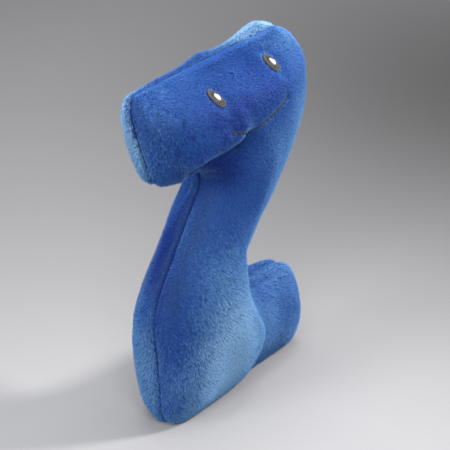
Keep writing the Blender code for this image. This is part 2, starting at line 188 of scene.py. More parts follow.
PILE_DEPTH = 0.0009
SLACK = 0.0008           # the most that the ground may lie deeper than the pile needs
START_INSET = 0.004
CLOTH_CELL = 0.004
SWELL_FRAMES = 20
FACES_OUT = 0.2          # least cosine between a panel's face and the body's for an outer face
TOO_CLOSE = 0.0008       # within this gap the skin's own normal gives the way in
SEAM_Y = sum(corner.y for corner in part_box("seam_thread")) / 2


def select_only(obj):
    bpy.ops.object.select_all(action="DESELECT")
    obj.select_set(True)
    bpy.context.view_layer.objects.active = obj


def applied(obj, kind, **settings):
    """Adds one modifier and applies it."""
    select_only(obj)
    modifier = obj.modifiers.new(kind, kind)
    for key, value in settings.items():
        setattr(modifier, key, value)
    bpy.ops.object.modifier_apply(modifier=modifier.name)


def points_of(mesh):
    co = np.empty(len(mesh.vertices) * 3, np.float32)
    mesh.vertices.foreach_get("co", co)
    return co.reshape(-1, 3).astype(float)


def normals_of(mesh):
    normal = np.empty(len(mesh.vertices) * 3, np.float32)
    mesh.vertices.foreach_get("normal", normal)
    return normal.reshape(-1, 3).astype(float)


def set_points(mesh, co):
    mesh.vertices.foreach_set("co", np.ascontiguousarray(co, np.float32).ravel())
    mesh.update()


def merged_copy(node):
    obj = bpy.data.objects.new(node + "_copy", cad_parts[node].data.copy())
    bpy.context.scene.collection.objects.link(obj)
    mesh = bmesh.new()
    mesh.from_mesh(obj.data)
    bmesh.ops.remove_doubles(mesh, verts=mesh.verts, dist=0.00001)
    mesh.to_mesh(obj.data)
    mesh.free()
    obj.data.materials.clear()
    return obj


def outer_skin(panels, filled):
    """The faces of the CAD panels that look outwards, as one search tree."""
    around = BVHTree.FromObject(filled, bpy.context.evaluated_depsgraph_get())
    corners, faces = [], []
    for panel in panels:
        first = len(corners)
        corners += [vertex.co.copy() for vertex in panel.data.vertices]
        for face in panel.data.polygons:
            normal = around.find_nearest(face.center)[1]
            if normal.dot(face.normal) > FACES_OUT:
                faces.append([first + index for index in face.vertices])
    return BVHTree.FromPolygons(corners, faces)


def hold(obj, skin, slack):
    """Keeps each point no nearer the skin than the pile's depth, and at most slack deeper."""
    held = []
    for point in points_of(obj.data):
        point = Vector(point)
        near, normal, _, gap = skin.find_nearest(point)
        inward = point - near
        outside = inward.dot(normal) > 0
        way = -normal if outside or gap < TOO_CLOSE else inward.normalized()
        depth = -gap if outside else gap
        held.append(near + way * min(max(depth, PILE_DEPTH), PILE_DEPTH + slack))
    set_points(obj.data, np.array(held))


def swell(obj):
    """Inflates the mesh as cloth under pressure, from a slightly smaller start."""
    set_points(obj.data, points_of(obj.data) - normals_of(obj.data) * START_INSET)
    select_only(obj)
    cloth = obj.modifiers.new("swell", "CLOTH")
    cloth.settings.quality = 4
    cloth.settings.mass = 0.2
    cloth.settings.tension_stiffness = 12
    cloth.settings.compression_stiffness = 12
    cloth.settings.bending_stiffness = 0.8
    cloth.settings.use_pressure = True
    cloth.settings.uniform_pressure_force = 4
    cloth.settings.effector_weights.gravity = 0
    for step in range(1, SWELL_FRAMES + 1):
        bpy.context.scene.frame_set(step)
    bpy.ops.object.modifier_apply(modifier=cloth.name)
    bpy.context.scene.frame_set(1)


sewn = [merged_copy("front_panel"), merged_copy("back_panel")]
body = bpy.data.objects.new("body", sewn[0].data.copy())
spare = bpy.data.objects.new("spare", sewn[1].data.copy())
bpy.context.scene.collection.objects.link(body)
bpy.context.scene.collection.objects.link(spare)
select_only(body)
spare.select_set(True)
bpy.ops.object.join()
applied(body, "REMESH", mode="VOXEL", voxel_size=CLOTH_CELL)
skin = outer_skin(sewn, body)
for panel in sewn:
    bpy.data.objects.remove(panel)
swell(body)
hold(body, skin, SLACK)
applied(body, "SMOOTH", factor=0.5, iterations=2)
applied(body, "SUBSURF", levels=1, render_levels=1)
hold(body, skin, SLACK)
applied(body, "SMOOTH", factor=0.5, iterations=2)

# Folds, as lines on the front seen square on: metres along and up. The cloth bulges over UNDER_BAR
# and sinks below it, the foot steps back beyond HIP_EDGE, and ARMPIT_PULL is a thin crease.
UNDER_BAR = [(-0.066, 0.183), (-0.061, 0.188), (-0.051, 0.191), (-0.0435, 0.192), (-0.0366, 0.1923),
             (-0.027, 0.1938), (-0.0196, 0.1959), (-0.0133, 0.199), (-0.0086, 0.202), (-0.002, 0.207)]
HIP_EDGE = [(-0.008, 0.130), (-0.006, 0.092), (-0.002, 0.079), (0.003, 0.069), (0.006, 0.059),
            (0.010, 0.0516), (0.0145, 0.0440), (0.0140, 0.040), (0.0115, 0.036), (0.0085, 0.031),
            (0.004, 0.022), (-0.002, 0.008), (-0.004, -0.004)]
# Fuller or flatter places: which side, how far out, and the middle and spread across and up.
SWELLINGS = [("back", 0.0045, (-0.078, 0.045, 0.022, 0.036)),
             ("both", 0.0020, (-0.074, 0.004, 0.020, 0.020)),
             ("both", 0.0030, (0.090, 0.236, 0.016, 0.016)),
             ("back", 0.0035, (0.072, 0.243, 0.016, 0.010)),
             ("back", -0.0130, (-0.034, 0.168, 0.020, 0.011)),
             ("back", 0.0035, (-0.002, 0.238, 0.011, 0.008)),
             ("front", 0.0020, (-0.010, 0.218, 0.060, 0.020)),
             ("both", 0.0010, (-0.095, 0.210, 0.012, 0.030))]
HIP_PUSH = (0.0034, -0.0050, 0.0)
HIP_STEP = 0.0050
ARMPIT_PULL = [(-0.051, 0.187), (-0.0436, 0.182), (-0.034, 0.174), (-0.025, 0.1666)]
BAR_BULGE, BULGE_WIDTH, BAR_SINK, SINK_WIDTH = 0.0055, 0.010, 0.0070, 0.006
CREASE_DEPTH, CREASE_WIDTH = 0.0018, 0.0028


def beside(line, flat):
    """For each point: its distance from the line, above or left of it if positive, and how far
    along the line it lies."""
    best = np.full(len(flat), 1e9)
    along = np.zeros(len(flat))
    line = np.array(line)
    lengths = np.linalg.norm(np.diff(line, axis=0), axis=1)
    starts = np.concatenate([[0], np.cumsum(lengths)])
    for k, (a, b) in enumerate(zip(line, line[1:])):
        ab = b - a
        t = np.clip(((flat - a) @ ab) / (ab @ ab), 0, 1)
        gap = np.hypot(*(flat - (a + t[:, None] * ab)).T)
        along = np.where(gap < best, (starts[k] + t * lengths[k]) / starts[-1], along)
        best = np.minimum(gap, best)
    wide, high = np.ptp(line, axis=0)
    if wide > high:
        line = line[np.argsort(line[:, 0])]
        side = np.sign(flat[:, 1] - np.interp(flat[:, 0], line[:, 0], line[:, 1]))
    else:
        line = line[np.argsort(line[:, 1])]
        side = np.sign(np.interp(flat[:, 1], line[:, 1], line[:, 0]) - flat[:, 0])
    return best * side, along


def ease(x, low, high):
    """Rises smoothly from 0 at low to 1 at high."""
    t = np.clip((x - low) / (high - low), 0, 1)
    return t * t * (3 - 2 * t)


def bump(t, width):
    """Rises to 1 at one width from the line and dies away beyond."""
    t = np.maximum(t, 0) / width
    return t * np.exp(0.5 - 0.5 * t * t)


def spot(flat, x, z, wide, high):
    """A soft round place with 1 in its middle."""
    return np.exp(-0.5 * (((flat[:, 0] - x) / wide) ** 2 + ((flat[:, 1] - z) / high) ** 2))


def fold(obj):
    """Bulges and sinks the cloth along the folds and the fuller places, and pushes the hip out."""
    co, normal = points_of(obj.data), normals_of(obj.data)
    flat = co[:, [0, 2]]
    front = ease(SEAM_Y - co[:, 1], 0.001, 0.012)
    back = ease(co[:, 1] - SEAM_Y, 0.001, 0.012)
    t, along = beside(UNDER_BAR, flat)
    live = ease(along, 0.0, 0.15) * (1 - ease(along, 0.7, 1.0))
    lift = front * live * (BAR_BULGE * bump(t, BULGE_WIDTH) - BAR_SINK * bump(-t, SINK_WIDTH))
    on = {"front": front, "back": back, "both": 1.0}
    lift += sum(height * on[side] * spot(flat, *place) for side, height, place in SWELLINGS)
    t = beside(HIP_EDGE, flat)[0]
    foot = ease(-t, 0.000, 0.012) * (1 - ease(-t, 0.030, 0.085)) * (1 - ease(flat[:, 1], 0.080, 0.100))
    lift -= front * HIP_STEP * foot * ease(flat[:, 0], -0.010, 0.010)
    pushed = front * ease(t, -0.005, 0.006) * (1 - ease(t, 0.020, 0.070))
    t, along = beside(ARMPIT_PULL, flat)
    lift -= front * ease(along, 0, 0.3) * CREASE_DEPTH * np.exp(-(t / CREASE_WIDTH) ** 2)
    co = co + normal * lift[:, None]
    pushed *= ease(flat[:, 1], 0.030, 0.070) * (1 - ease(flat[:, 1], 0.088, 0.125))
    set_points(obj.data, co + pushed[:, None] * np.array(HIP_PUSH))


fold(body)
stuffing = bpy.data.objects.new("stuffing", body.data.copy())
bpy.context.scene.collection.objects.link(stuffing)

# ---------------------------------------------------------------------------------------------
# Seam: the panels are sewn face to face and turned, so the seam lies at the bottom of a narrow
# groove that the pile on both sides closes over. The body is cut along it into its two panels, and
# the top edge of the bar, where the seam pulls it, leans back and a little down.

GROOVE_DEPTH, GROOVE_WIDTH, GROOVE_REACH = 0.0040, 0.0015, 0.006
GROOVE_ROWS = (0, -0.0011, 0.0011, -0.0028, 0.0028)
SHALLOW_ON_TOP = 0.6     # share of the groove's depth that is missing where it faces up
RIDGE_BACK, RIDGE_DROP, RIDGE_THINNER = 0.0085, 0.0036, 0.55
RIDGE_HEIGHT, RIDGE_LEFT, RIDGE_RIGHT = (0.216, 0.241), (-0.110, -0.085), (0.02, 0.07)


def leaned(co):
    """The share of the lean at each point: all of it on the top edge, and less at its right end."""
    share = ease(co[:, 2], *RIDGE_HEIGHT) * ease(co[:, 0], *RIDGE_LEFT)
    return share * (1 - 0.60 * ease(co[:, 0], *RIDGE_RIGHT))


def lean_back(co):
    """Leans the top edge back and down, and thins it behind the seam."""
    share = leaned(co)
    co = co.copy()
    co[:, 1] += share * (RIDGE_BACK - RIDGE_THINNER * np.maximum(co[:, 1] - SEAM_Y, 0))
    co[:, 2] -= share * RIDGE_DROP
    return co


def cut_rows(mesh, height):
    everything = mesh.verts[:] + mesh.edges[:] + mesh.faces[:]
    bmesh.ops.bisect_plane(mesh, geom=everything, plane_co=(0, height, 0), plane_no=(0, 1, 0), dist=1e-7)


def loop_through(mesh, height):
    """The points of the cut, in order round the letter."""
    on_cut = {vertex for vertex in mesh.verts if abs(vertex.co.y - height) < 1e-6}
    start = min(on_cut, key=lambda vertex: (vertex.co.z, vertex.co.x))
    loop, seen, last = [start], {start}, start
    while True:
        onward = [edge.other_vert(last) for edge in last.link_edges]
        onward = [vertex for vertex in onward if vertex in on_cut and vertex not in seen]
        if not onward:
            return loop
        last = onward[0]
        seen.add(last)
        loop.append(last)


mesh = bmesh.new()
mesh.from_mesh(body.data)
for offset in GROOVE_ROWS:
    cut_rows(mesh, SEAM_Y + offset)
mesh.normal_update()
for vertex in mesh.verts:
    reach = abs(vertex.co.y - SEAM_Y)
    if reach < GROOVE_REACH:
        inward = Vector((vertex.normal.x, 0, vertex.normal.z))
        if inward.length > 0.01:
            depth = GROOVE_DEPTH * math.exp(-(reach / GROOVE_WIDTH) ** 2)
            depth *= 1 - SHALLOW_ON_TOP * max(inward.normalized().z - 0.5, 0) / 0.5
            vertex.co -= inward.normalized() * depth
mesh.normal_update()
seam_loop = [(vertex.co.copy(), vertex.normal.copy()) for vertex in loop_through(mesh, SEAM_Y)]
mesh.to_mesh(body.data)
mesh.free()
body.data.update()


def half(name, keep):
    """One side of the body, cut along the seam."""
    obj = bpy.data.objects.new(name, body.data.copy())
    bpy.context.scene.collection.objects.link(obj)
    mesh = bmesh.new()
    mesh.from_mesh(obj.data)
    gone = [face for face in mesh.faces if (face.calc_center_median().y - SEAM_Y) * keep < 0]
    bmesh.ops.delete(mesh, geom=gone, context="FACES")
    mesh.to_mesh(obj.data)
    mesh.free()
    return obj


front_ground = half("front_ground", -1)
back_ground = half("back_ground", 1)
bpy.data.objects.remove(body)
for obj in (front_ground, back_ground, stuffing):
    set_points(obj.data, lean_back(points_of(obj.data)))
seam_loop = [(Vector(lean_back(np.array([point]))[0]), normal) for point, normal in seam_loop]

# ---------------------------------------------------------------------------------------------
# Embroidery places: the eyes and the mouth are sewn through the front panel, so each one pulls
# the ground down a little. The mouth's line is read off its own CAD thread.


def middle_of(node):
    low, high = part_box(node)
    return (low + high) / 2


def line_of(node, steps):
    """The middle line of a CAD thread, from left to right, seen square on."""
    low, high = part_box(node)
    co = np.array([vertex.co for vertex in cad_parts[node].data.vertices])
    line = []
    for k in range(steps):
        x = low.x + (high.x - low.x) * (k + 0.5) / steps
        near = co[np.abs(co[:, 0] - x) < (high.x - low.x) / steps]
        line.append((x, (near[:, 2].min() + near[:, 2].max()) / 2))
    return line


# The swollen cloth carries the eyes down and to the right, and spreads the smile by a tenth. The
# fold under the bar draws the middle of the smile down by SAG.
EYE_DRIFT = {"left": Vector((0.0024, 0, -0.0042)), "right": Vector((0.0046, 0, -0.0011))}
EYES = {side: middle_of(side + "_eye") + drift for side, drift in EYE_DRIFT.items()}
EYE_RADIUS = 0.0049
EYE_PULL, MOUTH_PULL, TACK_PULL = 0.0012, 0.0016, 0.0012
SAG = 0.0036
MOUTH = [(1.09 * x - 0.0030, z + 0.0002 - SAG * math.exp(-0.5 * ((x + 0.003) / 0.009) ** 2))
         for x, z in line_of("mouth_stitch", 28)]


def pull_in(obj):
    """Draws the ground down under the embroidery, by the depth that each stitch pulls it."""
    co, normal = points_of(obj.data), normals_of(obj.data)
    flat = co[:, [0, 2]]
    front = ease(SEAM_Y - co[:, 1], 0.002, 0.010)
    depth = np.zeros(len(co))
    for place in EYES.values():
        from_eye = np.hypot(flat[:, 0] - place.x, flat[:, 1] - place.z)
        depth += EYE_PULL * (1 - ease(from_eye, EYE_RADIUS * 0.9, EYE_RADIUS * 2.0))
    depth += MOUTH_PULL * np.exp(-(beside(MOUTH, flat)[0] / 0.0022) ** 2)
    for end in (MOUTH[0], MOUTH[-1]):
        from_end = (flat[:, 0] - end[0]) ** 2 + (flat[:, 1] - end[1]) ** 2
        depth += TACK_PULL * np.exp(-from_end / 0.0035 ** 2)
    set_points(obj.data, co - normal * (front * depth)[:, None])


pull_in(front_ground)
front_tree = BVHTree.FromObject(front_ground, bpy.context.evaluated_depsgraph_get())


def on_front(x, z, lift):
    """The point over (x, z) on the front, that much above the ground, and the way out there."""
    hit, normal, _, _ = front_tree.ray_cast(Vector((x, -0.09, z)), Vector((0, 1, 0)))
    return hit + normal * lift, normal


# ---------------------------------------------------------------------------------------------
# Pile: short soft polyester fur on a knitted ground. The tufts lean down the letter, stand in
# little clumps where they are brushed, and show pale or dark partly with the way that they lie
# and partly with painted light and painted shade.

PILE_LENGTH = 0.0025
TUFT_WIDTH = 0.00026
TUFTS_PER_PIECE = 48000
PIECES_PER_SIDE = 4
TUFTS_PER_CLUMP, CLUMP_RADIUS = 6, 0.0012
PILE_LEAN = 33           # degrees from upright
SEAM_CLEAR, MOUTH_CLEAR = 0.0014, 0.0009   # no tuft is rooted nearer than this
ROOT_SINK, LOWEST = 0.0002, 0.0004
rng = np.random.default_rng(11)
LATTICE_SIZE = 24
lattice = rng.random((LATTICE_SIZE, LATTICE_SIZE, LATTICE_SIZE)) * 2 - 1


def cloudy(co, size, shift=0.0):
    """Soft blotches of that size, from -1 to 1."""
    p = co / size + 100 + shift
    cell = np.floor(p).astype(int)
    t = p - cell
    t = t * t * (3 - 2 * t)
    total = 0
    for corner in range(8):
        step = np.array([(corner >> k) & 1 for k in range(3)])
        weight = np.where(step, t, 1 - t).prod(1)
        at = (cell + step) % LATTICE_SIZE
        total = total + weight * lattice[at[:, 0], at[:, 1], at[:, 2]]
    return total


def scattered(obj, count):
    """Roots spread evenly over the ground, each with the smooth normal there."""
    data = obj.data
    data.calc_loop_triangles()
    tri = np.empty(len(data.loop_triangles) * 3, np.int32)
    data.loop_triangles.foreach_get("vertices", tri)
    tri = tri.reshape(-1, 3)
    co, normal = points_of(data), normals_of(data)
    a, b, c = (co[tri[:, k]] for k in range(3))
    area = np.linalg.norm(np.cross(b - a, c - a), axis=1)
    total = np.cumsum(area)
    place = (np.arange(count) + rng.random(count)) / count * total[-1]
    pick = np.searchsorted(total, place).clip(0, len(tri) - 1)
    r = np.sqrt(rng.random(count))
    s = rng.random(count)
    w = np.stack([1 - r, r * (1 - s), r * s], 1)
    root = (co[tri[pick]] * w[:, :, None]).sum(1)
    out = (normal[tri[pick]] * w[:, :, None]).sum(1)
    out /= np.linalg.norm(out, axis=1)[:, None]
    mix = rng.permutation(count)
    return root[mix], out[mix]


def unit(v):
    return v / np.maximum(np.linalg.norm(v, axis=1), 1e-12)[:, None]


def brushed(co, side):
    """How ruffled the pile is: most on the end of the bar and low on the body."""
    flat = co[:, [0, 2]]
    low = spot(flat, -0.058, 0.055, 0.026, 0.045)
    end = 1.15 * spot(flat, -0.088, 0.212, 0.015, 0.024)
    return np.clip(0.05 + 0.85 * np.maximum(low, end) + 0.15 * cloudy(co, 0.03, 7), 0, 1)


# Where the pile shows pale or dark, partly with the way it lies and partly as painted light and
# painted shade (painted shade under the bar, painted light on the left end and the top edge):
# which side, how much, and the middle and spread of the place.
PILE_NAP_AND_PAINTED_LIGHT = [("front", 0.76, (-0.032, 0.048, 0.033, 0.040)), ("front", 0.10, (0.070, 0.045, 0.025, 0.035)),
          ("front", 0.10, (-0.092, 0.215, 0.012, 0.030)), ("front", -0.34, (-0.077, 0.068, 0.017, 0.052)),
          ("front", -0.30, (-0.032, 0.174, 0.030, 0.014)), ("front", -0.26, (0.000, 0.218, 0.050, 0.018)),
          ("front", 0.18, (0.020, 0.178, 0.020, 0.018)), ("front", 0.22, (0.058, 0.195, 0.016, 0.028)),
          ("front", 0.16, (0.075, 0.240, 0.020, 0.010)), ("back", 0.66, (-0.098, 0.205, 0.018, 0.040)),
          ("back", 0.34, (-0.082, 0.050, 0.022, 0.036)), ("back", -0.34, (-0.054, 0.124, 0.024, 0.036)),
          ("back", 0.78, (0.066, 0.244, 0.028, 0.012))]


def tone_of(co, out, side):
    """How pale the pile shows, from 0 to 1: its own tone, the way it lies, and painted light and painted
    shade.
    """
    flat = co[:, [0, 2]]
    tone = 0.33 + 0.07 * cloudy(co, 0.035) + 0.05 * cloudy(co, 0.012, 3)
    for where, amount, place in PILE_NAP_AND_PAINTED_LIGHT:
        if where == side:
            tone += amount * spot(flat, *place)
    # Painted light: pile on faces that look up is made paler.
    tone += 0.04 * ease(out[:, 2], 0.50, 0.95)
    # Painted shade: the pile is darkened along the seam groove.
    from_seam = co[:, 1] - SEAM_Y - RIDGE_BACK * leaned(co)
    tone -= 0.34 * np.exp(-(from_seam / 0.0017) ** 2)
    if side == "front":
        # Painted highlight: a pale ring where the pile stands up round each eye.
        for place in EYES.values():
            from_rim = np.hypot(flat[:, 0] - place.x, flat[:, 1] - place.z) - EYE_RADIUS
            tone += 0.22 * np.exp(-(from_rim / 0.0013) ** 2)
        # Painted highlight: pale pile along both edges of the mouth's groove.
        tone += 0.10 * np.exp(-((np.abs(beside(MOUTH, flat)[0]) - 0.0016) / 0.0008) ** 2)
    return tone


def tufts(side, ground):
    """Places, turns and tones of all the tufts of one panel."""
    count = TUFTS_PER_PIECE * PIECES_PER_SIDE
    root, out = scattered(ground, int(count * 1.06))
    flat = root[:, [0, 2]]
    keep = np.abs(root[:, 1] - SEAM_Y - RIDGE_BACK * leaned(root)) > SEAM_CLEAR
    if side == "front":
        for place in EYES.values():
            keep &= np.hypot(flat[:, 0] - place.x, flat[:, 1] - place.z) > EYE_RADIUS * 0.93
        keep &= np.abs(beside(MOUTH, flat)[0]) > MOUTH_CLEAR
    root, out = root[keep][:count], out[keep][:count]
    flat = root[:, [0, 2]]
    size = len(root)
    down = np.tile([0.0, 0.0, -1.0], (size, 1))
    down[:, 0] += 0.35 * cloudy(root, 0.05, 21)
    down = unit(down - out * (down * out).sum(1)[:, None] + 1e-6)
    across = np.cross(out, down)
    ruffled = brushed(root, side)
    turn = (0.35 + 0.9 * ruffled) * cloudy(root, 0.022, 5) + 0.5 * ruffled * cloudy(root, 0.006, 9)
    turn += rng.normal(0, 0.18, size)
    nap = down * np.cos(turn)[:, None] + across * np.sin(turn)[:, None]
    lean = np.radians(PILE_LEAN) + 0.16 * cloudy(root, 0.02, 13) + rng.normal(0, 0.10, size)
    length = PILE_LENGTH * (1 + 0.12 * rng.standard_normal(size)).clip(0.7, 1.3)
    length *= 1 + 0.10 * cloudy(root, 0.008, 17)
    to_seam = SEAM_Y + RIDGE_BACK * leaned(root) - root[:, 1]
    beside_seam = np.exp(-(to_seam / 0.0030) ** 2)
    over = -0.30 * beside_seam * np.sign(to_seam)
    length *= 1 - 0.25 * beside_seam
    nap = unit(nap + over[:, None] * np.array([0.0, 1.0, 0.0]))
    if side == "front":
        for place in EYES.values():
            away = np.stack([flat[:, 0] - place.x, np.zeros(size), flat[:, 1] - place.z], 1)
            reach = np.linalg.norm(away, axis=1)
            close = np.exp(-((reach - EYE_RADIUS) / 0.0022) ** 2)
            away = unit(away - out * (away * out).sum(1)[:, None])
            nap = unit(nap * (1 - close)[:, None] + away * (1.4 * close)[:, None])
            length *= 1 - 0.25 * close
        close = np.exp(-(beside(MOUTH, flat)[0] / 0.0016) ** 2)
        length *= 1 - 0.30 * close
        lean = lean * (1 - 0.5 * close)
    way = out * np.cos(lean)[:, None] + nap * np.sin(lean)[:, None]
    tip = root + way * length[:, None]

    centres = root[:size // TUFTS_PER_CLUMP]
    tree = KDTree(len(centres))
    for k, centre in enumerate(centres):
        tree.insert(centre, k)
    tree.balance()
    owner = np.fromiter((tree.find(point)[1] for point in root), int, size)
    clump_tone = rng.normal(0, 1, len(centres))[owner]
    gather = (0.30 + 0.24 * ruffled)[:, None]
    clump_tip = tip[:len(centres)][owner]
    tip = tip + (clump_tip - tip) * gather
    from_middle = np.linalg.norm(root - centres[owner], axis=1) / CLUMP_RADIUS
    tone = tone_of(root, out, side) + (0.030 + 0.060 * ruffled) * clump_tone
    # Painted shade: tufts towards the edge of their clump are made darker, as in the gaps between clumps.
    tone -= (0.08 + 0.10 * ruffled) * (from_middle - 0.5).clip(0, 1)
    tone += rng.normal(0, 0.045, size)
    root = root - out * ROOT_SINK
    tip[:, 2] = np.maximum(tip[:, 2], LOWEST)
    root[:, 2] = np.maximum(root[:, 2], LOWEST)
    return root, tip, out, tone.clip(0.02, 0.98)


def pile_piece(name, root, tip, out, tone, width):
    """Each tuft is one closed spike, with its tone and its height along it in its UV map."""
    size = len(root)
    way = unit(tip - root)
    side = unit(np.cross(way, out + 1e-4))
    front = np.cross(side, way)
    ring = [root + width * (math.cos(a) * side + math.sin(a) * front) for a in (0.0, 2.094, 4.189)]
    co = np.stack(ring + [tip], 1).reshape(-1, 3)
    pattern = np.array([[0, 1, 3], [1, 2, 3], [2, 0, 3], [0, 2, 1]])
    corner = (pattern[None] + 4 * np.arange(size)[:, None, None]).reshape(-1)
    data = bpy.data.meshes.new(name)
    data.vertices.add(len(co))
    data.loops.add(len(corner))
    data.polygons.add(size * 4)
    data.vertices.foreach_set("co", np.ascontiguousarray(co, np.float32).ravel())
    data.loops.foreach_set("vertex_index", corner.astype(np.int32))
    data.polygons.foreach_set("loop_start", np.arange(0, size * 12, 3, dtype=np.int32))
    data.update(calc_edges=True)
    data.validate()
    uv = data.uv_layers.new(name="OFBake")
    shift = np.array([-0.008, 0.008, 0.0, 0.0])
    height = np.array([0.02, 0.02, 0.04, 0.98])
    where = np.stack([np.repeat(tone, 12) + shift[corner % 4], height[corner % 4]], 1)
    uv.data.foreach_set("uv", where.astype(np.float32).ravel())
    obj = bpy.data.objects.new(name, data)
    bpy.context.scene.collection.objects.link(obj)
    return obj


def ramp(tree, stops):
    """A colour ramp with those stops, each a place from 0 to 1 and its colour."""
    node = tree.nodes.new("ShaderNodeValToRGB")
    band = node.color_ramp
    band.interpolation = "EASE"
    while len(band.elements) < len(stops):
        band.elements.new(0.5)
    for element, (position, colour) in zip(band.elements, stops):
        element.position = position
        element.color = (*colour, 1)
    return node


def pile_material():
    """Dyed blue polyester, a little shiny: painted shade darkens it towards the root and painted light
    makes it paler at the tip.
    """
    mat, shader = plain("blue_pile", (0.03, 0.09, 0.30), 0.62)
    shader.inputs["Sheen Weight"].default_value = 0.45
    shader.inputs["Sheen Roughness"].default_value = 0.35
    shader.inputs["Sheen Tint"].default_value = (0.25, 0.55, 1.0, 1)
    shader.inputs["Specular IOR Level"].default_value = 0.22
    tree = mat.node_tree
    uv = tree.nodes.new("ShaderNodeUVMap")
    uv.uv_map = "OFBake"
    parts = tree.nodes.new("ShaderNodeSeparateXYZ")
    tree.links.new(uv.outputs["UV"], parts.inputs["Vector"])
    # The tone picks the dye's colour, so its pale end also carries painted light and its dark end painted
    # shade.
    dye = ramp(tree, [(0.0, (0.006, 0.036, 0.31)), (0.33, (0.031, 0.132, 0.50)),
                      (0.60, (0.130, 0.325, 0.68)), (1.0, (0.360, 0.640, 0.98))])
    tree.links.new(parts.outputs["X"], dye.inputs["Fac"])
    # Painted shade towards the root of each tuft and painted light at its tip, by the height along it.
    height = ramp(tree, [(0.0, (0.18, 0.18, 0.20)), (0.45, (0.62, 0.62, 0.64)),
                         (1.0, (1.25, 1.25, 1.2))])
    tree.links.new(parts.outputs["Y"], height.inputs["Fac"])
    both = multiplied(tree, dye.outputs["Color"], height.outputs["Color"])
    tree.links.new(both, shader.inputs["Base Color"])
    return mat


pile = pile_material()
for side, ground in (("front", front_ground), ("back", back_ground)):
    root, tip, out, tone = tufts(side, ground)
    width = TUFT_WIDTH * 1
    for k in range(PIECES_PER_SIDE):
        some = slice(k * TUFTS_PER_PIECE, (k + 1) * TUFTS_PER_PIECE)
        piece = pile_piece(f"{side}_pile_{k + 1}", root[some], tip[some], out[some], tone[some], width)
        piece.data.materials.append(pile)
        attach(piece, "root")

# ---------------------------------------------------------------------------------------------
# Knitted ground: the thin warp-knitted fabric that carries the pile, one piece for each panel.
# It shows only at the bottom of the seam groove and between the tufts.

GROUND_THICKNESS = 0.0008


def raised(tree, shader, height, distance):
    """Lets the surface stand out by that distance where the height is 1."""
    rise = tree.nodes.new("ShaderNodeBump")
    rise.inputs["Distance"].default_value = distance
    tree.links.new(height, rise.inputs["Height"])
    tree.links.new(rise.outputs["Normal"], shader.inputs["Normal"])


def knit_material():
    mat, shader = plain("knitted_ground", (0.012, 0.045, 0.20), 0.85)
    tree = mat.node_tree
    where = tree.nodes.new("ShaderNodeTexCoord")
    knit = tree.nodes.new("ShaderNodeTexVoronoi")
    knit.inputs["Scale"].default_value = 900
    tree.links.new(where.outputs["Object"], knit.inputs["Vector"])
    dye = ramp(tree, [(0.0, (0.018, 0.060, 0.25)), (1.0, (0.008, 0.028, 0.13))])
    tree.links.new(knit.outputs["Distance"], dye.inputs["Fac"])
    tree.links.new(dye.outputs["Color"], shader.inputs["Base Color"])
    raised(tree, shader, knit.outputs["Distance"], 0.0003)
    return mat


knit = knit_material()
for side, ground in (("front", front_ground), ("back", back_ground)):
    applied(ground, "SOLIDIFY", thickness=GROUND_THICKNESS, offset=-1.0, use_even_offset=False)
    ground.data.shade_smooth()
    ground.data.materials.append(knit)
    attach(ground, "root")
    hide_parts(side + "_panel")

# ---------------------------------------------------------------------------------------------
# Stuffing: white hollow-fibre polyester, one soft mass that fills the sewn body. It is pushed in
# through the opening in the foot, and nothing but the panels holds it.


def fibre_group():
    """Shade and height of loose or pressed fibres, which the stuffing and its sheet share."""
    group = bpy.data.node_groups.new("tangled_fibres", "ShaderNodeTree")
    for name in ("Scale", "Detail", "Distortion"):
        group.interface.new_socket(name, in_out="INPUT", socket_type="NodeSocketFloat")
    for name in ("Shade", "Height"):
        group.interface.new_socket(name, in_out="OUTPUT", socket_type="NodeSocketFloat")
    nodes, links = group.nodes, group.links
    given, result = nodes.new("NodeGroupInput"), nodes.new("NodeGroupOutput")
    where = nodes.new("ShaderNodeTexCoord")
    fibres = nodes.new("ShaderNodeTexNoise")
    links.new(where.outputs["Object"], fibres.inputs["Vector"])
    for name in ("Scale", "Detail", "Distortion"):
        links.new(given.outputs[name], fibres.inputs[name])
    for name in ("Shade", "Height"):
        links.new(fibres.outputs["Fac"], result.inputs[name])
    return group


tangled_fibres = fibre_group()


def fibre_material(name, scale, detail, distortion, tint, rise):
    """White polyester fibres: tint is the two ends of their mottle, and rise how far they stand out."""
    mat, shader = plain(name, tint[0], 0.9)
    tree = mat.node_tree
    fibres = tree.nodes.new("ShaderNodeGroup")
    fibres.node_tree = tangled_fibres
    fibres.inputs["Scale"].default_value = scale
    fibres.inputs["Detail"].default_value = detail
    fibres.inputs["Distortion"].default_value = distortion
    mottle = ramp(tree, [(0.3, tint[0]), (0.7, tint[1])])
    tree.links.new(fibres.outputs["Shade"], mottle.inputs["Fac"])
    tree.links.new(mottle.outputs["Color"], shader.inputs["Base Color"])
    raised(tree, shader, fibres.outputs["Height"], rise)
    return mat


STUFFING_INSET = GROUND_THICKNESS + 0.0036
SEAM_INSET, SEAM_INSET_WIDTH = 0.0045, 0.007   # how much deeper it lies beside the seam
applied(stuffing, "SMOOTH", factor=0.5, iterations=10)
co = points_of(stuffing.data)
from_seam = co[:, 1] - SEAM_Y - RIDGE_BACK * leaned(co)
inset = STUFFING_INSET + SEAM_INSET * np.exp(-(from_seam / SEAM_INSET_WIDTH) ** 2)
set_points(stuffing.data, co - normals_of(stuffing.data) * inset[:, None])
applied(stuffing, "SMOOTH", factor=0.5, iterations=4)
stuffing.data.shade_smooth()
loose = fibre_material("white_fibre", 260, 6, 0, [(0.70, 0.70, 0.69), (0.88, 0.88, 0.86)], 0.0006)
stuffing.data.materials.append(loose)
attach(stuffing, "root")
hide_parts("fibre_stuffing")

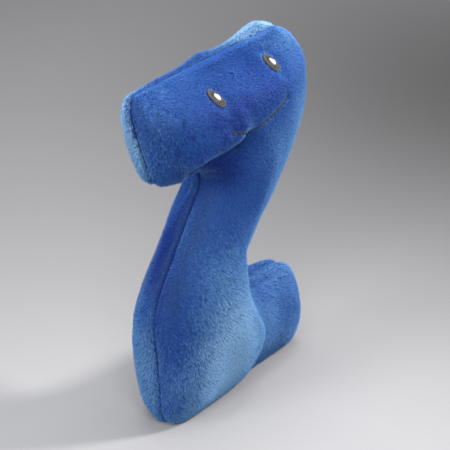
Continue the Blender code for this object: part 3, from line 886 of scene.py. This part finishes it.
# ---------------------------------------------------------------------------------------------
# Embroidery backing: a patch of white tear-away sheet, laid behind the front panel before the
# face is sewn. The stitches hold it against the cloth, so it takes the cloth's own curve.

BACKING_DEPTH, BACKING_THICKNESS = GROUND_THICKNESS + 0.0004, 0.0003


def backing_patch(name, node, columns, rows):
    low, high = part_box(node)
    mesh = bmesh.new()
    grid = []
    for row in range(rows + 1):
        z = low.z + (high.z - low.z) * row / rows
        line = []
        for column in range(columns + 1):
            x = low.x + (high.x - low.x) * column / columns
            line.append(mesh.verts.new(on_front(x, z, -BACKING_DEPTH)[0]))
        grid.append(line)
    for near, far in zip(grid, grid[1:]):
        for k in range(columns):
            mesh.faces.new([near[k], near[k + 1], far[k + 1], far[k]])
    data = bpy.data.meshes.new(name)
    mesh.to_mesh(data)
    mesh.free()
    obj = bpy.data.objects.new(name, data)
    bpy.context.scene.collection.objects.link(obj)
    applied(obj, "SOLIDIFY", thickness=BACKING_THICKNESS, offset=-1.0, use_even_offset=False)
    obj.data.shade_smooth()
    return obj


backing = backing_patch("backing_sheet", "embroidery_backing", 46, 17)
pressed = fibre_material("tear_away_sheet", 700, 8, 1.5, [(0.66, 0.66, 0.64), (0.86, 0.86, 0.84)], 0.0002)
backing.data.materials.append(pressed)
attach(backing, "root")
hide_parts("embroidery_backing")

# ---------------------------------------------------------------------------------------------
# Sewing threads: navy polyester lockstitch at the bottom of the groove, and the hand-sewn
# zigzag that closes the opening the stuffing went in through.

SEAM_THREAD, SEAM_PITCH = 0.00017, 0.0028
CLOSING_THREAD, CLOSING_SWAY, CLOSING_LIFT, CLOSING_MARGIN = 0.00022, 0.0012, 0.0024, 0.003
THREAD_GRAIN, THREAD_RISE = 2500, 0.00008


class Threads:
    """Collects round threads with closed, rounded ends for one mesh."""

    def __init__(self):
        self.co, self.faces, self.marks = [], [], []

    def add(self, points, out, radius, mark=0.0, sides=6):
        points = [Vector(p) for p in points]
        first = len(self.co)
        last = len(points) - 1
        for k, point in enumerate(points):
            way = (points[min(k + 1, last)] - points[max(k - 1, 0)]).normalized()
            side = way.cross(Vector(out[k] if isinstance(out, list) else out)).normalized()
            up = side.cross(way)
            r = radius * (0.45 if k in (0, last) else 1.0)
            for s in range(sides):
                a = 2 * math.pi * s / sides
                self.co.append(point + side * math.cos(a) * r + up * math.sin(a) * r)
                self.marks.append(mark)
        for k in range(last):
            for s in range(sides):
                a, b = first + k * sides + s, first + k * sides + (s + 1) % sides
                self.faces.append([a, b, b + sides, a + sides])
        self.faces.append([first + s for s in reversed(range(sides))])
        self.faces.append([first + last * sides + s for s in range(sides)])

    def piece(self, name, material, slot, node):
        data = bpy.data.meshes.new(name)
        data.from_pydata(self.co, [], self.faces)
        data.update()
        marks = data.attributes.new("strand", "FLOAT", "POINT")
        marks.data.foreach_set("value", np.array(self.marks, np.float32))
        mesh = bmesh.new()
        mesh.from_mesh(data)
        bmesh.ops.recalc_face_normals(mesh, faces=mesh.faces)
        mesh.to_mesh(data)
        mesh.free()
        data.shade_smooth()
        data.materials.append(material)
        obj = bpy.data.objects.new(name, data)
        bpy.context.scene.collection.objects.link(obj)
        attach(obj, "root")
        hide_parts(node)


def strand_group():
    """Shade and height of plied thread: fine noise, and a tone for each strand."""
    group = bpy.data.node_groups.new("plied_strand", "ShaderNodeTree")
    group.interface.new_socket("Scale", in_out="INPUT", socket_type="NodeSocketFloat")
    group.interface.new_socket("Shade", in_out="OUTPUT", socket_type="NodeSocketFloat")
    group.interface.new_socket("Height", in_out="OUTPUT", socket_type="NodeSocketFloat")
    nodes, links = group.nodes, group.links
    given, result = nodes.new("NodeGroupInput"), nodes.new("NodeGroupOutput")
    where = nodes.new("ShaderNodeTexCoord")
    noise = nodes.new("ShaderNodeTexNoise")
    noise.inputs["Detail"].default_value = 3
    links.new(where.outputs["Object"], noise.inputs["Vector"])
    links.new(given.outputs["Scale"], noise.inputs["Scale"])
    strand = nodes.new("ShaderNodeAttribute")
    strand.attribute_name = "strand"
    mixed = nodes.new("ShaderNodeMath")
    mixed.operation = "MULTIPLY_ADD"
    mixed.inputs[1].default_value = 0.5
    links.new(noise.outputs["Fac"], mixed.inputs[0])
    links.new(strand.outputs["Fac"], mixed.inputs[2])
    links.new(mixed.outputs["Value"], result.inputs["Shade"])
    links.new(noise.outputs["Fac"], result.inputs["Height"])
    return group


strand_shade = strand_group()


def thread_material(name, stops, roughness):
    mat, shader = plain(name, stops[0][1], roughness)
    shader.inputs["Sheen Weight"].default_value = 0.15
    tree = mat.node_tree
    group = tree.nodes.new("ShaderNodeGroup")
    group.node_tree = strand_shade
    group.inputs["Scale"].default_value = THREAD_GRAIN
    dye = ramp(tree, stops)
    tree.links.new(group.outputs["Shade"], dye.inputs["Fac"])
    tree.links.new(dye.outputs["Color"], shader.inputs["Base Color"])
    raised(tree, shader, group.outputs["Height"], THREAD_RISE)
    return mat


def even_points(loop, pitch):
    """Points at even steps round the seam, each with the way out of the groove."""
    co = np.array([point for point, _ in loop] + [loop[0][0]])
    out = np.array([normal for _, normal in loop] + [loop[0][1]])
    run = np.concatenate([[0], np.cumsum(np.linalg.norm(np.diff(co, axis=0), axis=1))])
    at = np.arange(0, run[-1], pitch)
    co = np.stack([np.interp(at, run, co[:, k]) for k in range(3)], 1)
    out = np.stack([np.interp(at, run, out[:, k]) for k in range(3)], 1)
    out[:, 1] = 0
    return co, unit(out)


fine_co, fine_out = even_points(seam_loop, SEAM_PITCH / 4)
seam = Threads()
for k in range(0, len(fine_co) - 4, 4):
    points = [fine_co[k + s] + fine_out[k + s] * rise for s, rise in
              ((0, 0.0001), (1, 0.0004), (2, 0.0004), (3, 0.0001))]
    seam.add(points, Vector(fine_out[k]), SEAM_THREAD)
navy = thread_material("navy_thread", [(0.2, (0.004, 0.010, 0.05)), (0.9, (0.012, 0.030, 0.12))], 0.6)
seam.piece("seam_stitches", navy, "seam_thread", "seam_thread")

low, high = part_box("closing_stitches")
closing_run = [k for k in range(len(fine_co))
               if low.x - CLOSING_MARGIN < fine_co[k][0] < high.x + CLOSING_MARGIN
               and low.z - CLOSING_MARGIN < fine_co[k][2] < high.z + CLOSING_MARGIN]
closing = Threads()
path, outs = [], []
for step, k in enumerate(closing_run[::3]):
    sway = CLOSING_SWAY if step % 2 else -CLOSING_SWAY
    path.append(Vector(fine_co[k]) + Vector(fine_out[k]) * CLOSING_LIFT + Vector((0, sway, 0)))
    outs.append(Vector(fine_out[k]))
closing.add(path, outs, CLOSING_THREAD)
closing.piece("closing_zigzag", navy, "closing_thread", "closing_stitches")

# ---------------------------------------------------------------------------------------------
# Eyes: satin stitch in grey-brown thread, in rings from the middle out with a browner rim, and
# a small white oval of parallel stitches on each for the light in it.

STITCH = 0.00022
EYE_RISE = 0.0021
EYE_RINGS = [(0.0039, 0.0049, 80, 0.30), (0.0025, 0.0040, 58, 0.04)]  # inside, outside, stitches, tone
MIDDLE_RADIUS, MIDDLE_STITCHES = 0.0027, 14
LIGHT_HALF_WIDTH, LIGHT_HALF_HEIGHT, LIGHT_STITCHES = 0.0017, 0.0019, 9
LIGHT_SHIFT = Vector((0.0012, 0, 0.0002))


def eye_rings(place):
    """Short stitches across each ring, then upright ones over the middle."""
    threads = Threads()
    for inner, outer, count, mark in EYE_RINGS:
        for k in range(count):
            angle = 2 * math.pi * (k + 0.35 * rng.random()) / count
            slant = angle + 0.10
            wobble = 0.00018 * rng.standard_normal(2)
            points = []
            for s in range(5):
                share = s / 4
                radius = inner + wobble[0] + (outer + wobble[1] - inner) * share
                arch = EYE_RISE * (0.55 + 0.45 * math.sin(math.pi * (0.12 + 0.76 * share)))
                turn = slant + (angle - slant) * share
                x, z = place.x + radius * math.cos(turn), place.z + radius * math.sin(turn)
                points.append(on_front(x, z, arch)[0])
            out = on_front(place.x, place.z, 0)[1]
            threads.add(points, out, STITCH, mark + 0.22 * rng.random(), sides=5)
    for k in range(MIDDLE_STITCHES):
        x = place.x - MIDDLE_RADIUS + 2 * MIDDLE_RADIUS * (k + 0.5) / MIDDLE_STITCHES
        half_height = math.sqrt(max(MIDDLE_RADIUS ** 2 - (x - place.x) ** 2, 0))
        points = []
        for s in range(5):
            z = place.z - half_height + 2 * half_height * s / 4
            arch = EYE_RISE * (0.6 + 0.4 * math.sin(math.pi * (0.1 + 0.8 * s / 4)))
            points.append(on_front(x, z, arch)[0])
        out = on_front(place.x, place.z, 0)[1]
        threads.add(points, out, STITCH, 0.10 + 0.2 * rng.random(), sides=5)
    return threads


def highlight(place):
    """Upright stitches side by side in an oval."""
    threads = Threads()
    for k in range(LIGHT_STITCHES):
        x = place.x - LIGHT_HALF_WIDTH + 2 * LIGHT_HALF_WIDTH * (k + 0.5) / LIGHT_STITCHES
        across = (x - place.x) / LIGHT_HALF_WIDTH
        half_height = LIGHT_HALF_HEIGHT * math.sqrt(max(1 - across ** 2, 0.05))
        points = []
        for s in range(5):
            z = place.z - half_height + 2 * half_height * s / 4
            arch = EYE_RISE + 0.0001 + 0.0005 * math.sin(math.pi * (0.1 + 0.8 * s / 4))
            points.append(on_front(x, z, arch)[0])
        out = on_front(place.x, place.z, 0)[1]
        threads.add(points, out, STITCH, 0.3 * rng.random(), sides=5)
    return threads


eye_shades = [(0.10, (0.020, 0.018, 0.018)), (0.45, (0.052, 0.045, 0.041)),
              (0.62, (0.080, 0.062, 0.050)), (0.95, (0.150, 0.105, 0.075))]
eye_thread = thread_material("eye_thread", eye_shades, 0.45)
white_thread = thread_material("white_thread", [(0.2, (0.75, 0.74, 0.72)), (0.8, (0.92, 0.92, 0.90))], 0.5)
for side, place in EYES.items():
    eye_rings(place).piece(side + "_eye_rings", eye_thread, "eye_thread", side + "_eye")
    highlight(place + LIGHT_SHIFT).piece(side + "_eye_light", white_thread, "white_thread",
                                         side + "_eye_highlight")

# ---------------------------------------------------------------------------------------------
# Mouth: back stitches of thick dark brown thread along one smile, half sunk in the pile, with a
# small tack across each end.

MOUTH_THREAD, MOUTH_STITCH = 0.00038, 0.0042
TACK_UP, TACK_HALF_HEIGHT, TACK_RISE = 0.0006, 0.0014, 0.0026


def mouth_run():
    """One arched stitch after another, sunk deepest a third of the way along."""
    threads = Threads()
    line = np.array(MOUTH)
    run = np.concatenate([[0], np.cumsum(np.linalg.norm(np.diff(line, axis=0), axis=1))])
    count = int(run[-1] / MOUTH_STITCH)
    for k in range(count):
        points = []
        middle = (k + 0.5) / count
        high = 0.0010 * max(1 - ease(middle, 0.08, 0.20), ease(middle, 0.42, 0.60)) + 0.0018
        for s in range(6):
            at = (k + 0.04 + 0.92 * s / 5) / count * run[-1]
            x, z = np.interp(at, run, line[:, 0]), np.interp(at, run, line[:, 1])
            points.append(on_front(x, z, high * (0.75 + 0.25 * math.sin(math.pi * s / 5)))[0])
        out = on_front(*np.mean([np.array(p)[[0, 2]] for p in points], axis=0), 0)[1]
        threads.add(points, out, MOUTH_THREAD, 0.3 * rng.random())
    return threads


def tack(end):
    """Two upright threads side by side."""
    threads = Threads()
    place = Vector((end[0], 0, end[1] + TACK_UP))
    for k, offset in enumerate((-0.0004, 0.0003)):
        points = [on_front(place.x + offset, place.z + TACK_HALF_HEIGHT * s, TACK_RISE)[0]
                  for s in (-1, -0.3, 0.3, 1)]
        threads.add(points, on_front(place.x, place.z, 0)[1], MOUTH_THREAD * 0.8, 0.4 + 0.2 * k)
    return threads


brown = thread_material("mouth_thread", [(0.1, (0.010, 0.008, 0.007)), (0.9, (0.040, 0.024, 0.018))], 0.55)
mouth_run().piece("mouth_stitches", brown, "mouth_thread", "mouth_stitch")
for side, end in (("left", MOUTH[0]), ("right", MOUTH[-1])):
    tack(end).piece(side + "_tack", brown, "mouth_thread", side + "_mouth_tack")
